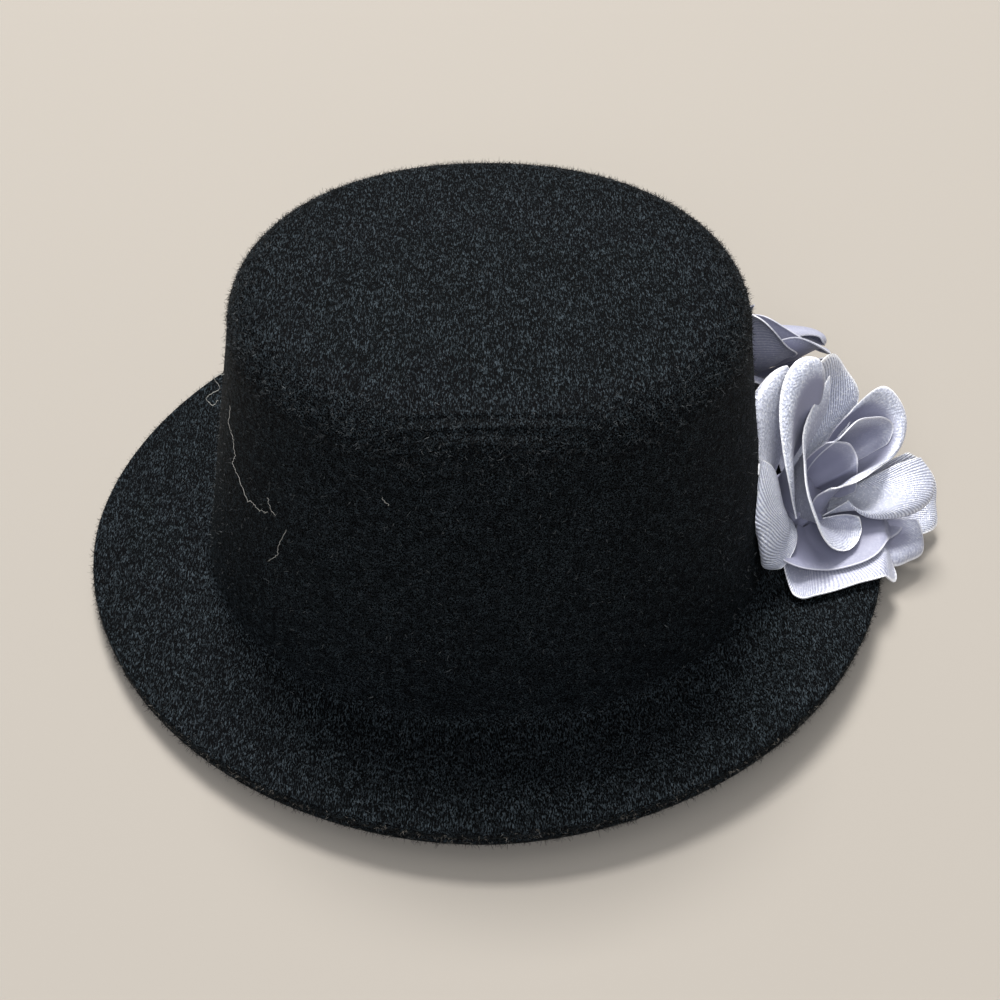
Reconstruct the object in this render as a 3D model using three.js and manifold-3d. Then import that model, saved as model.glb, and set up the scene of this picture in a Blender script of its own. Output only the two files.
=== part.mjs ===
// A clip-on fascinator: a miniature black felt hat with two satin roses
// beside its crown, standing on its brim. Millimetres, +Z up, front towards -Y.

import * as THREE from 'three';
import { mergeVertices } from 'three/addons/utils/BufferGeometryUtils.js';
import Module from 'manifold-3d';

const wasm = await Module();
wasm.setup();

// Hat: half widths along X and Y, heights and walls
const BRIM = { x: 65, y: 59.9, squareness: 1.9 };
const CROWN_BASE = { x: 46, y: 40.5, squareness: 2.1 };
const CROWN_TOP = { x: 37.7, y: 33.1, squareness: 2.1 };
const CROWN_HEIGHT = 54.6;
const CROWN_SHIFT_Y = 1.5;
const SHOULDER_RADIUS = 6.1;
const CORNER_RADIUS = 1.6;
const FELT_WALL = 2;
const FACING_WALL = 1.6;
const BRIM_WALL = 1.7;
const GAP = 0.3;
const BRIM_TOP = FACING_WALL + GAP + BRIM_WALL;
const BRIM_WIDTH = BRIM.x - CROWN_BASE.x;
const EDGE_ROUNDING = { up: 0.35, in: 0.5 };
const AROUND = 40;

// The rim lifts off the table by these amounts: all round, tilted and curled
const RIM_LIFT = { mean: 2.12, tilt: 1.4, tiltTowards: -39, curl: 0.95, curlTowards: -72 };

// The facing's mouth inside the crown's foot, and its flat stretch that rests on the table
const MOUTH_INSET = 2.6;
const FLAT_RING = 5;
const FACING_INSET = 0.2;

// Hair clip: a curved spring strip folded back on itself
const CLIP = { span: 40, width: 7, strip: 1.1, slot: 1.4, bend: 1.6, floor: 3 };

// Roses: where each one is fixed, the way it faces and its size
const PETAL_WALL = 1;
const ROSES = [
  { name: 'rose_1', foot: [51.3, 1.5, 8.5], faces: [0.57, -0.22, 0.79], mirrored: false, scale: 1 },
  { name: 'rose_2', foot: [42, 31, 9.5], faces: [0.5, 0.3, 0.79], mirrored: true, scale: 0.9 },
];
const KNOT = { top: 4.2, bottom: 5.2, above: 1.2, below: 9, sides: 12 };

// Petals of a rose, in degrees and millimetres. Directions round the rose: 0 is away
// from the front, 90 against the crown, 180 to the front, 270 over the brim. Each
// petal goes from one direction to another. Its root and its lip at the start, middle
// and end are [distance from the axis, height along it]. cup places its belly between
// root and lip, and roll turns its lip outwards.
const PETAL_FIELDS = ['kind', 'from', 'to', 'root', 'start', 'middle', 'end', 'cup', 'roll'];
const PETAL_TABLE = [
  ['bud', 60, 300, [1.5, 3], [1.8, 14], [2, 15], [2.4, 14], [1, 0.5], 0],
  ['bud', 185, 440, [2.9, 2.5], [3.2, 13.4], [5, 15.8], [4.8, 15], [1, 0.5], 20],
  ['inner', 298, 392, [4.2, 2], [7, 16], [13.5, 19], [12, 16.5], [0.6, 0.3], 90],
  ['inner', 40, 210, [4.4, 1.5], [17, 13], [9.6, 10.8], [12.7, 7], [0.3, 0.8], 10],
  ['inner', 178, 304, [4.4, 1], [7.5, 10.5], [10, 13], [17.5, 15], [0.45, 1.3], 40],
  ['middle', 0, 50, [4.8, 1], [13, 14], [20, 15.6], [19.5, 12.5], [0.7, 0.2], 20],
  ['middle', 46, 188, [5, 0.5], [23.5, 18], [14.4, 10.5], [15, 2], [0.3, 0.8], 35],
  ['middle', 170, 276, [5, 0], [14, 2], [14.5, 5], [15.5, 11], [0.35, 0.8], 20],
  ['outer', 46, 120, [5.4, -0.5], [21.5, 7], [19.5, 10], [17, 9.2], [0.5, 0.4], 20],
  ['outer', 118, 188, [5.4, -0.5], [17.5, 7.5], [17.8, 2.8], [18, -1], [0.5, 0.5], 50],
  ['outer', 188, 260, [5.4, -0.5], [19.5, 0.8], [18.4, 7.4], [19.5, 11.5], [0.5, 0.3], 0],
  ['outer', 244, 292, [5.4, -0.5], [18, 9.5], [20.8, 11.3], [20.5, 11.5], [0.5, 0.4], 20],
  ['outer', 280, 328, [5.4, -0.5], [19.5, 13.5], [19, 16], [15, 15.4], [0.6, 0.3], 20],
  ['outer', 322, 372, [5.4, -0.5], [15, 9], [16, 10], [16, 9], [0.6, 0.3], 20],
  ['outer', 5, 60, [5.4, -0.5], [16, 7], [17.5, 7], [17, 5.5], [0.6, 0.3], 20],
];
const PETALS = PETAL_TABLE.map((row) => Object.fromEntries(row.map((value, i) => [PETAL_FIELDS[i], value])));

const FELT = new THREE.MeshStandardMaterial({ color: 0x15181b, roughness: 0.95, metalness: 0 });
const FACING = new THREE.MeshStandardMaterial({ color: 0x121416, roughness: 0.95, metalness: 0 });
const SATIN = new THREE.MeshStandardMaterial({ color: 0xb4b6cc, roughness: 0.4, metalness: 0 });
const STEEL = new THREE.MeshStandardMaterial({ color: 0xa8abad, roughness: 0.35, metalness: 1 });

const rad = THREE.MathUtils.degToRad;
const mix = THREE.MathUtils.lerp;
const smooth = (x) => THREE.MathUtils.smoothstep(x, 0, 1);

// A mesh from its points and its triangles
function meshGeometry(points, index) {
  const geometry = new THREE.BufferGeometry();
  const numbers = points.flatMap((point) => point.toArray());
  geometry.setAttribute('position', new THREE.Float32BufferAttribute(numbers, 3));
  geometry.setIndex(index);
  return geometry;
}

// A tube of rings, each joined to the next and the last to the first
function ringedGeometry(rings) {
  const count = rings[0].length;
  const index = [];
  rings.forEach((ring, i) => {
    const next = (i + 1) % rings.length;
    for (let j = 0; j < count; j += 1) {
      const k = (j + 1) % count;
      index.push(i * count + j, next * count + k, i * count + k);
      index.push(i * count + j, next * count + j, next * count + k);
    }
  });
  return meshGeometry(rings.flat(), index);
}

// A closed mesh as a solid that can be cut
function toSolid(geometry) {
  const plain = geometry.clone();
  plain.deleteAttribute('normal');
  plain.deleteAttribute('uv');
  const merged = mergeVertices(plain, MERGE_DISTANCE);
  return new wasm.Manifold(new wasm.Mesh({
    numProp: 3,
    vertProperties: new Float32Array(merged.attributes.position.array),
    triVerts: new Uint32Array(merged.index.array),
  }));
}

function toGeometry(solid) {
  const mesh = solid.getMesh();
  const geometry = new THREE.BufferGeometry();
  geometry.setAttribute('position', new THREE.Float32BufferAttribute(mesh.vertProperties, 3));
  geometry.setIndex(Array.from(mesh.triVerts));
  return geometry;
}

// What is left of a cut petal, without loose scraps and slivers
function largestPiece(solid) {
  return solid.decompose()
    .reduce((best, piece) => (piece.volume() > best.volume() ? piece : best))
    .simplify(TRIM_TOLERANCE);
}

function named(name, geometry, material) {
  const mesh = new THREE.Mesh(geometry, material);
  mesh.name = name;
  return mesh;
}

// How far the rim stands off the table in a direction
function rimLift(angle) {
  const tilt = RIM_LIFT.tilt * Math.cos(angle - rad(RIM_LIFT.tiltTowards));
  const curl = RIM_LIFT.curl * Math.cos(2 * (angle - rad(RIM_LIFT.curlTowards)));
  return RIM_LIFT.mean + tilt + curl;
}

// One oval ring: half widths x and y, height z, share of the rim's lift
function ovalRing({ x, y, z, lift, squareness }) {
  const shift = CROWN_SHIFT_Y * (1 - lift);
  return Array.from({ length: AROUND }, (_, i) => {
    const angle = (2 * Math.PI * i) / AROUND;
    const cos = Math.cos(angle);
    const sin = Math.sin(angle);
    return new THREE.Vector3(
      x * Math.sign(cos) * Math.abs(cos) ** (2 / squareness),
      y * Math.sign(sin) * Math.abs(sin) ** (2 / squareness) + shift,
      z + lift * rimLift(angle),
    );
  });
}

// A ring on the brim, from the crown's foot (0) to the rim (1)
function brimRing(share, z, inset = 0) {
  return {
    x: mix(CROWN_BASE.x, BRIM.x, share) - inset,
    y: mix(CROWN_BASE.y, BRIM.y, share) - inset,
    z,
    lift: smooth(share),
    squareness: mix(CROWN_BASE.squareness, BRIM.squareness, share),
  };
}

// A ring on the crown at a height, set back from its outer face
function crownRing(z, inset) {
  const share = (z - BRIM_TOP) / (CROWN_HEIGHT - SHOULDER_RADIUS - BRIM_TOP);
  return {
    x: mix(CROWN_BASE.x, CROWN_TOP.x, share) - inset,
    y: mix(CROWN_BASE.y, CROWN_TOP.y, share) - inset,
    z,
    lift: 0,
    squareness: CROWN_BASE.squareness,
  };
}

// The crown's shoulder and flat top, from the wall to the middle
function shoulderRings(radius, inset, top) {
  const rings = [30, 60, 90].map((degrees) => {
    const back = radius * (1 - Math.cos(rad(degrees))) + inset;
    const ring = crownRing(CROWN_HEIGHT - SHOULDER_RADIUS, back);
    ring.z = top - radius * (1 - Math.sin(rad(degrees)));
    return ring;
  });
  const flat = rings[rings.length - 1];
  rings.push({ ...flat, x: flat.x * 0.5, y: flat.y * 0.5 });
  return rings;
}

// The hat's outer rings, from the rim over the brim and up to the crown's top
function hatOutside() {
  return [
    brimRing(1, BRIM_TOP - EDGE_ROUNDING.up),
    brimRing(1, BRIM_TOP, EDGE_ROUNDING.in),
    brimRing(0.66, BRIM_TOP),
    brimRing(0.33, BRIM_TOP),
    brimRing(CORNER_RADIUS / BRIM_WIDTH, BRIM_TOP),
    crownRing(BRIM_TOP + CORNER_RADIUS * 0.3, -CORNER_RADIUS * 0.3),
    crownRing(BRIM_TOP + CORNER_RADIUS, 0),
    crownRing(CROWN_HEIGHT * 0.5, 0),
    crownRing(CROWN_HEIGHT - SHOULDER_RADIUS, 0),
    ...shoulderRings(SHOULDER_RADIUS, 0, CROWN_HEIGHT),
  ];
}

// The moulded felt: crown and upper brim layer, one wall, open below
function feltHatGeometry() {
  const under = FACING_WALL + GAP;
  const inside = [
    ...shoulderRings(SHOULDER_RADIUS - FELT_WALL, FELT_WALL, CROWN_HEIGHT - FELT_WALL).reverse(),
    crownRing(CROWN_HEIGHT - SHOULDER_RADIUS, FELT_WALL),
    crownRing(CROWN_HEIGHT * 0.5, FELT_WALL),
    crownRing(BRIM_TOP + CORNER_RADIUS, FELT_WALL),
    crownRing(under, MOUTH_INSET - 1),
    brimRing(0.33, under),
    brimRing(0.66, under),
    brimRing(1, under, EDGE_ROUNDING.in),
    brimRing(1, under + EDGE_ROUNDING.up),
  ];
  return cappedGeometry(hatOutside().map(ovalRing), inside.map(ovalRing));
}

// Outer rings from rim to top, inner rings from top to rim: the two fans close the top
function cappedGeometry(outer, inner) {
  const count = AROUND;
  const points = [...outer, ...inner].flat();
  const index = [];
  const rings = outer.length + inner.length;
  for (let i = 0; i < rings; i += 1) {
    if (i === outer.length - 1) continue;
    const next = (i + 1) % rings;
    for (let j = 0; j < count; j += 1) {
      const k = (j + 1) % count;
      index.push(i * count + j, i * count + k, next * count + k);
      index.push(i * count + j, next * count + k, next * count + j);
    }
  }
  [[outer.length - 1, false], [outer.length, true]].forEach(([ring, flip]) => {
    const middle = points.length;
    points.push(new THREE.Vector3(0, CROWN_SHIFT_Y, points[ring * count].z));
    for (let j = 0; j < count; j += 1) {
      const a = ring * count + j;
      const b = ring * count + ((j + 1) % count);
      index.push(...(flip ? [a, middle, b] : [a, b, middle]));
    }
  });
  return meshGeometry(points, index);
}

// The lower brim layer: a ring that is flat beside its mouth and lifts at the rim
function facingGeometry() {
  const flat = FLAT_RING / BRIM_WIDTH;
  const { up, in: inwards } = EDGE_ROUNDING;
  const mouth = crownRing(0, MOUTH_INSET);
  const rings = [
    { ...mouth, z: FACING_WALL },
    { ...mouth, z: 0 },
    { ...brimRing(flat, 0), lift: 0 },
    brimRing(0.66, 0),
    brimRing(1, 0, FACING_INSET + inwards),
    brimRing(1, up, FACING_INSET),
    brimRing(1, FACING_WALL - up, FACING_INSET),
    brimRing(1, FACING_WALL, FACING_INSET + inwards),
    brimRing(0.66, FACING_WALL),
    { ...brimRing(flat, FACING_WALL), lift: 0 },
  ];
  return ringedGeometry(rings.map(ovalRing).reverse());
}

// Steps of a petal's mesh, its usual length and half width, the width of its root
// and where its sides reach full width, its rounded corners, and where its lip begins
const PETAL_ROWS = 6;
const PETAL_COLUMNS = 6;
const PETAL_LENGTH = 18;
const PETAL_HALF_WIDTH = 11;
const ROOT_SPREAD = 0.45;
const FULL_WIDTH_AT = 0.7;
const CORNER_CUT = 0.24;
const LIP_START = 0.78;

// Cutting: the distance at which points are one, and the size of a sliver
const MERGE_DISTANCE = 1e-4;
const TRIM_TOLERANCE = 0.012;

// A value that goes through three given ones as side runs from -1 to 1
function through(start, middle, end, side) {
  return middle + (0.5 * (end - start)) * side + (0.5 * (start + end) - middle) * side * side;
}

// Distance from the rose's axis and height along it of a point of a petal
function petalProfile(petal, side, share) {
  const lip = [0, 1].map((i) => through(petal.start[i], petal.middle[i], petal.end[i], side));
  const belly = [0, 1].map((i) => mix(petal.root[i], lip[i], petal.cup[i]));
  const curve = new THREE.QuadraticBezierCurve(
    new THREE.Vector2(...petal.root),
    new THREE.Vector2(...belly),
    new THREE.Vector2(...lip),
  );
  const along = (t) => curve.getPoint(t);
  if (share <= LIP_START) return along(share);
  const hinge = along(LIP_START);
  const turn = -rad(petal.roll) * ((share - LIP_START) / (1 - LIP_START));
  return along(share).rotateAround(hinge, turn);
}

// A point of the petal's middle surface; side runs from -1 to 1, share from root to lip
function petalPoint(petal, side, share) {
  const rounded = share * (1 - CORNER_CUT * Math.abs(side) ** 3);
  const { x: across, y: height } = petalProfile(petal, side, rounded);
  const opened = Math.sin(0.5 * Math.PI * Math.min(1, share / FULL_WIDTH_AT));
  const spread = mix(ROOT_SPREAD, 1, opened);
  const middle = 0.5 * (petal.from + petal.to);
  const angle = rad(middle + 0.5 * (petal.to - petal.from) * side * spread);
  return new THREE.Vector3(across * Math.cos(angle), across * Math.sin(angle), height);
}

function petalNormal(petal, side, share) {
  const step = 0.02;
  const across = petalPoint(petal, side + step, share).sub(petalPoint(petal, side - step, share));
  const upwards = petalPoint(petal, side, share + step).sub(petalPoint(petal, side, share - step));
  return across.cross(upwards).normalize();
}

// The petal as a closed sheet of the given wall, its edges moved out by a margin
function petalGeometry(petal, wall, margin = 0) {
  const faces = [0.5 * wall, -0.5 * wall].map((offset) => {
    const grid = [];
    for (let r = 0; r <= PETAL_ROWS; r += 1) {
      for (let c = 0; c <= PETAL_COLUMNS; c += 1) {
        const share = (r / PETAL_ROWS) * (1 + margin / PETAL_LENGTH);
        const side = ((2 * c) / PETAL_COLUMNS - 1) * (1 + margin / PETAL_HALF_WIDTH);
        const normal = petalNormal(petal, side * 0.97, 0.03 + 0.94 * share);
        grid.push(petalPoint(petal, side, share).addScaledVector(normal, offset));
      }
    }
    return grid;
  });
  const width = PETAL_COLUMNS + 1;
  const size = faces[0].length;
  const index = [];
  for (let r = 0; r < PETAL_ROWS; r += 1) {
    for (let c = 0; c < PETAL_COLUMNS; c += 1) {
      const a = r * width + c;
      const [b, d, e] = [a + 1, a + width, a + width + 1];
      index.push(a, b, e, a, e, d);
      index.push(size + a, size + e, size + b, size + a, size + d, size + e);
    }
  }
  const last = PETAL_ROWS * width;
  const columns = Array.from({ length: PETAL_COLUMNS }, (_, c) => c);
  const rows = Array.from({ length: PETAL_ROWS }, (_, r) => r * width);
  const edge = [
    ...columns,
    ...rows.map((row) => row + PETAL_COLUMNS),
    ...columns.map((c) => last + PETAL_COLUMNS - c),
    ...rows.map((row) => last - row),
  ];
  edge.forEach((a, i) => {
    const b = edge[(i + 1) % edge.length];
    index.push(a, size + a, size + b, a, size + b, b);
  });
  return meshGeometry(faces.flat(), index);
}

// The same petal on the other hand, front for back
function mirroredPetal(petal) {
  return { ...petal, from: 180 - petal.to, to: 180 - petal.from, start: petal.end, end: petal.start };
}

// The frame of a rose: its axis, and its first direction level and away from the front
function roseMatrix(rose) {
  const axis = new THREE.Vector3(...rose.faces).normalize();
  const level = new THREE.Vector3(0, 0, 1).cross(axis).normalize();
  const third = axis.clone().cross(level);
  const matrix = new THREE.Matrix4().makeBasis(level, third, axis);
  matrix.setPosition(...rose.foot);
  return matrix.scale(new THREE.Vector3(rose.scale, rose.scale, rose.scale));
}

// A petal of a given wall in its place on the hat
function petalSolid(petal, matrix, wall, margin) {
  return toSolid(petalGeometry(petal, wall, margin).applyMatrix4(matrix));
}

// The knot of gathered roots under a rose, down to the hat
function knotSolid(matrix, margin) {
  const height = KNOT.above + KNOT.below + margin;
  const cone = new THREE.CylinderGeometry(KNOT.top + margin, KNOT.bottom + margin, height, KNOT.sides);
  cone.rotateX(0.5 * Math.PI);
  cone.translate(0, 0, KNOT.above + margin - 0.5 * height);
  return toSolid(cone.applyMatrix4(matrix));
}

// The hat's outer form as one block, moved out by the gap
function hatEnvelope() {
  const grown = (ring) => ({ ...ring, x: ring.x + GAP, y: ring.y + GAP, z: ring.z + GAP });
  const rings = hatOutside().map(grown);
  const floor = { ...rings[0], z: -CROWN_HEIGHT, lift: 0 };
  const middle = { ...floor, x: 1, y: 1 };
  return toSolid(cappedGeometry(rings.map(ovalRing), [middle, floor].map(ovalRing)));
}

// Each piece of a rose is cut back where it would run into the hat or an earlier piece
function addRose(group, rose, taken) {
  const matrix = roseMatrix(rose);
  const place = (name, solid, room) => {
    const clear = taken.reduce((rest, other) => rest.subtract(other), solid);
    group.add(named(`${rose.name}_${name}`, toGeometry(largestPiece(clear)), SATIN));
    taken.push(room.add(solid));
  };
  place('knot', knotSolid(matrix, 0), knotSolid(matrix, GAP));
  const counts = {};
  PETALS.forEach((row) => {
    const petal = rose.mirrored ? mirroredPetal(row) : row;
    counts[row.kind] = (counts[row.kind] ?? 0) + 1;
    const solid = petalSolid(petal, matrix, PETAL_WALL, 0);
    const room = petalSolid(petal, matrix, PETAL_WALL + 2 * GAP, GAP);
    place(`${row.kind}_${counts[row.kind]}`, solid, room);
  });
}

// Hair clip: one strip with two leaves, along the inside of the crown's back wall
function clipGeometry() {
  const wall = crownRing(CLIP.floor + CLIP.width, FELT_WALL + GAP);
  const steps = 10;
  const half = 0.5 * CLIP.span;
  const leaf = (from, to, inset) => Array.from({ length: steps + 1 }, (_, i) => {
    const x = mix(from, to, i / steps);
    const share = (Math.abs(x) / (wall.x - inset)) ** wall.squareness;
    return new THREE.Vector2(x, (wall.y - inset) * (1 - share) ** (1 / wall.squareness) + CROWN_SHIFT_Y);
  });
  const outline = [
    ...leaf(-half, half, 0),
    ...leaf(half, -half + CLIP.bend, CLIP.strip),
    ...leaf(-half + CLIP.bend, half, CLIP.strip + CLIP.slot),
    ...leaf(half, -half, 2 * CLIP.strip + CLIP.slot),
  ];
  const settings = { depth: CLIP.width, bevelEnabled: false };
  return new THREE.ExtrudeGeometry(new THREE.Shape(outline), settings).translate(0, 0, CLIP.floor);
}

const fascinator = new THREE.Group();
fascinator.add(named('felt_hat', feltHatGeometry(), FELT));
fascinator.add(named('brim_facing', facingGeometry(), FACING));
fascinator.add(named('hair_clip', clipGeometry(), STEEL));
const taken = [hatEnvelope()];
ROSES.forEach((rose) => addRose(fascinator, rose, taken));

// The origin is under the middle of the whole, on the table
const box = new THREE.Box3().setFromObject(fascinator, true);
const centre = box.getCenter(new THREE.Vector3());
fascinator.position.set(-centre.x, -centre.y, -box.min.z);

export default fascinator;
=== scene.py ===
"""A clip-on fascinator: a miniature black felt hat with two satin roses beside its crown.

Metres, +Z up, the front towards -Y. The script follows the hat as it is put together.
"""

import math

import bpy
import numpy as np
from mathutils import Matrix, Vector


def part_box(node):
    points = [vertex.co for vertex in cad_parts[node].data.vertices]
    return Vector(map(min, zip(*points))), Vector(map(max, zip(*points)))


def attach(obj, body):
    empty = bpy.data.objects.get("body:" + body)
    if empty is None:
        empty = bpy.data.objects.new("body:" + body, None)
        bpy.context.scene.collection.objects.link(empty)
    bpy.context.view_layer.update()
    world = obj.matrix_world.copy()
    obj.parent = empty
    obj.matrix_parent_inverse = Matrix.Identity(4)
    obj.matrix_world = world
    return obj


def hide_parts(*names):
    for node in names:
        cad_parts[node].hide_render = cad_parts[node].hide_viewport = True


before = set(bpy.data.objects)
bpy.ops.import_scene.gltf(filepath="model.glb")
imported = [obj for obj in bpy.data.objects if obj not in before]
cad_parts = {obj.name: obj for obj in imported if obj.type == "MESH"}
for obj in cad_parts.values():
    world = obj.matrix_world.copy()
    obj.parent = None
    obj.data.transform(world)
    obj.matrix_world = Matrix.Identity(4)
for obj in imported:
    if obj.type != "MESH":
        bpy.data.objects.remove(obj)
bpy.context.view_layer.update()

# The felt hat. One piece of black wool felt is steamed over a block, so that the crown
# and the upper layer of the brim are one wall with soft corners and no seam. The rim
# has curled up a little towards the front right.
facing_low, facing_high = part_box("brim_facing")
hat_low, hat_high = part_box("felt_hat")
HAT_X = 0.5 * (facing_low.x + facing_high.x)
CROWN_HEIGHT = hat_high.z
BRIM_HALF = (0.5 * (hat_high.x - hat_low.x), 0.5 * (hat_high.y - hat_low.y))
CROWN_FOOT_HALF = (0.046, 0.0405)
CROWN_TOP_HALF = (0.0377, 0.0331)
BRIM_SQUARENESS = 1.9
CROWN_SQUARENESS = 2.1
CROWN_SHIFT_Y = 0.0015
SHOULDER_RADIUS = 0.0061
CORNER_RADIUS = 0.0016
FELT_WALL = 0.002
FACING_WALL = 0.0016
LAYER_GAP = 0.0003
BRIM_WALL = 0.0017
BRIM_TOP = FACING_WALL + LAYER_GAP + BRIM_WALL
BRIM_UNDER = FACING_WALL + LAYER_GAP
RIM_LIFT = 0.00212
RIM_TILT = (0.0014, math.radians(-39))
RIM_CURL = (0.00095, math.radians(-72))
MOUTH_INSET = 0.0026
SIDES = 192


def mix(start, end, share):
    return start + (end - start) * share


def smooth(share):
    share = min(1.0, max(0.0, share))
    return share * share * (3 - 2 * share)


def rim_lift(angle):
    """How far the rim stands off the table in a direction."""
    tilt = RIM_TILT[0] * math.cos(angle - RIM_TILT[1])
    curl = RIM_CURL[0] * math.cos(2 * (angle - RIM_CURL[1]))
    return RIM_LIFT + tilt + curl


def brim_ring(share, z, inset=0.0, lift=None):
    """A ring on the brim, from the crown's foot (0) to the rim (1)."""
    if lift is None:
        lift = smooth(share)
    half = [mix(foot, rim, share) - inset for foot, rim in zip(CROWN_FOOT_HALF, BRIM_HALF)]
    squareness = mix(CROWN_SQUARENESS, BRIM_SQUARENESS, share)
    return {"half": half, "z": z, "lift": lift, "squareness": squareness}


def crown_ring(z, inset=0.0):
    """A ring on the crown's wall at a height, set back from its outer face."""
    share = (z - BRIM_TOP) / (CROWN_HEIGHT - SHOULDER_RADIUS - BRIM_TOP)
    half = [mix(foot, top, share) - inset for foot, top in zip(CROWN_FOOT_HALF, CROWN_TOP_HALF)]
    return {"half": half, "z": z, "lift": 0.0, "squareness": CROWN_SQUARENESS}


def shoulder_rings(radius, inset, top):
    """The rounded edge of the crown and its flat top, from the wall to the middle."""
    rings = []
    for step in range(1, 9):
        bend = math.radians(90 * step / 8)
        ring = crown_ring(CROWN_HEIGHT - SHOULDER_RADIUS, inset + radius * (1 - math.cos(bend)))
        rings.append({**ring, "z": top - radius * (1 - math.sin(bend))})
    rim = rings[-1]
    for size in (0.94, 0.85, 0.7, 0.5, 0.3, 0.12):
        rings.append({**rim, "half": [size * half for half in rim["half"]]})
    return rings


def rim_rings(low, high, inset=0.0):
    """The cut edge of a brim layer, rounded by wear, from its underside to its top."""
    radius = 0.5 * (high - low)
    rings = []
    for step in range(9):
        turn = math.radians(180 * step / 8)
        z = low + radius * (1 - math.cos(turn))
        rings.append(brim_ring(1, z, inset + 0.6 * radius * (1 - math.sin(turn))))
    return rings


def loft(name, rings, closed_ends):
    """A tube drawn out from a circle, ring by ring, and moulded to the hat's own ovals."""
    bpy.ops.object.select_all(action="DESELECT")
    bpy.ops.mesh.primitive_circle_add(vertices=SIDES, radius=1, location=(0, 0, 0))
    piece = bpy.context.active_object
    piece.name = name
    bpy.ops.object.mode_set(mode="EDIT")
    bpy.ops.mesh.select_all(action="SELECT")
    for _ in rings[1:]:
        bpy.ops.mesh.extrude_edges_move(TRANSFORM_OT_translate={"value": (0, 0, 1)})
    bpy.ops.object.mode_set(mode="OBJECT")
    for vertex in piece.data.vertices:
        ring = rings[round(vertex.co.z)]
        angle = math.atan2(vertex.co.y, vertex.co.x)
        power = 2 / ring["squareness"]
        across = [math.copysign(abs(turn) ** power, turn) for turn in (math.cos(angle), math.sin(angle))]
        shift = CROWN_SHIFT_Y * (1 - ring["lift"])
        vertex.co = (
            HAT_X + ring["half"][0] * across[0],
            ring["half"][1] * across[1] + shift,
            ring["z"] + ring["lift"] * rim_lift(angle),
        )
    bpy.ops.object.mode_set(mode="EDIT")
    bpy.ops.mesh.select_all(action="DESELECT")
    bpy.ops.mesh.select_non_manifold()
    if closed_ends:
        bpy.ops.mesh.edge_face_add()
        bpy.ops.mesh.select_all(action="DESELECT")
    else:
        bpy.ops.mesh.bridge_edge_loops()
    bpy.ops.mesh.select_all(action="SELECT")
    bpy.ops.mesh.normals_make_consistent(inside=False)
    bpy.ops.object.mode_set(mode="OBJECT")
    bpy.ops.object.shade_smooth()
    return piece


class Socket:
    """A value in a finish, which Python's own signs can work on."""

    def __init__(self, finish, output):
        self.finish = finish
        self.output = output

    def __add__(self, other):
        return self.finish.maths("ADD", self, other)

    def __radd__(self, other):
        return self.finish.maths("ADD", other, self)

    def __sub__(self, other):
        return self.finish.maths("SUBTRACT", self, other)

    def __rsub__(self, other):
        return self.finish.maths("SUBTRACT", other, self)

    def __mul__(self, other):
        return self.finish.maths("MULTIPLY", self, other)

    def __rmul__(self, other):
        return self.finish.maths("MULTIPLY", other, self)


class Finish:
    """A material and its nodes."""

    def __init__(self, name, **constants):
        self.material = bpy.data.materials.new(name)
        self.material.use_nodes = True
        self.nodes = self.material.node_tree.nodes
        self.links = self.material.node_tree.links
        self.surface = self.nodes["Principled BSDF"]
        for socket, value in constants.items():
            self.surface.inputs[socket.replace("_", " ")].default_value = value

    def add(self, kind, settings, values, output=0):
        """Adds a node, sets its own settings, then the values or links of its sockets."""
        node = self.nodes.new(kind)
        for name, value in settings.items():
            setattr(node, name, value)
        for name, value in values.items():
            self.feed(node.inputs[name], value)
        return Socket(self, node.outputs[output])

    def feed(self, target, value):
        if isinstance(value, Socket):
            self.links.new(value.output, target)
        else:
            target.default_value = value

    def feed_surface(self, name, value):
        self.feed(self.surface.inputs[name], value)

    def maths(self, operation, *values):
        return self.add("ShaderNodeMath", {"operation": operation}, dict(enumerate(values)))

    def place(self):
        """Where a point lies on the object, in metres."""
        return self.add("ShaderNodeTexCoord", {}, {}, output=3)

    def split(self, vector):
        """The three numbers of a vector."""
        outputs = self.add("ShaderNodeSeparateXYZ", {}, {0: vector}).output.node.outputs
        return [Socket(self, outputs[i]) for i in range(3)]

    def attribute(self, name):
        """A number that the mesh carries at each point."""
        return self.add("ShaderNodeAttribute", {"attribute_name": name}, {}, output=2)

    def noise(self, place, scale, detail=2.0, distortion=0.0):
        values = {"Vector": place, "Scale": scale, "Detail": detail, "Distortion": distortion}
        return self.add("ShaderNodeTexNoise", {"noise_dimensions": "3D"}, values)

    def ramp(self, value, low, high):
        """0 below low, 1 above high, smooth between."""
        values = {"Value": value, "From Min": low, "From Max": high}
        return self.add("ShaderNodeMapRange", {"interpolation_type": "SMOOTHSTEP"}, values)

    def blend(self, share, first, second):
        """Between two colours."""
        return self.add("ShaderNodeMix", {"data_type": "RGBA"}, {0: share, 6: first, 7: second}, output=2)

    def bump(self, height, distance, strength, under=None):
        values = {"Height": height, "Distance": distance, "Strength": strength}
        if under is not None:
            values["Normal"] = under
        return self.add("ShaderNodeBump", {}, values)


FIBRE_THICK = 0.00018
FIBRE_STRETCH = 0.24
FIBRE_TURNS = ((0.3, 0.2, 0.5), (0.9, -0.6, 1.8), (-0.7, 0.9, 2.7), (1.6, 0.4, -0.6))
FELT_DARK = (0.0003, 0.0005, 0.0008, 1)
FELT_LIGHT = (0.029, 0.038, 0.045, 1)
FELT_RIB_PITCH = 0.0019


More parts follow.
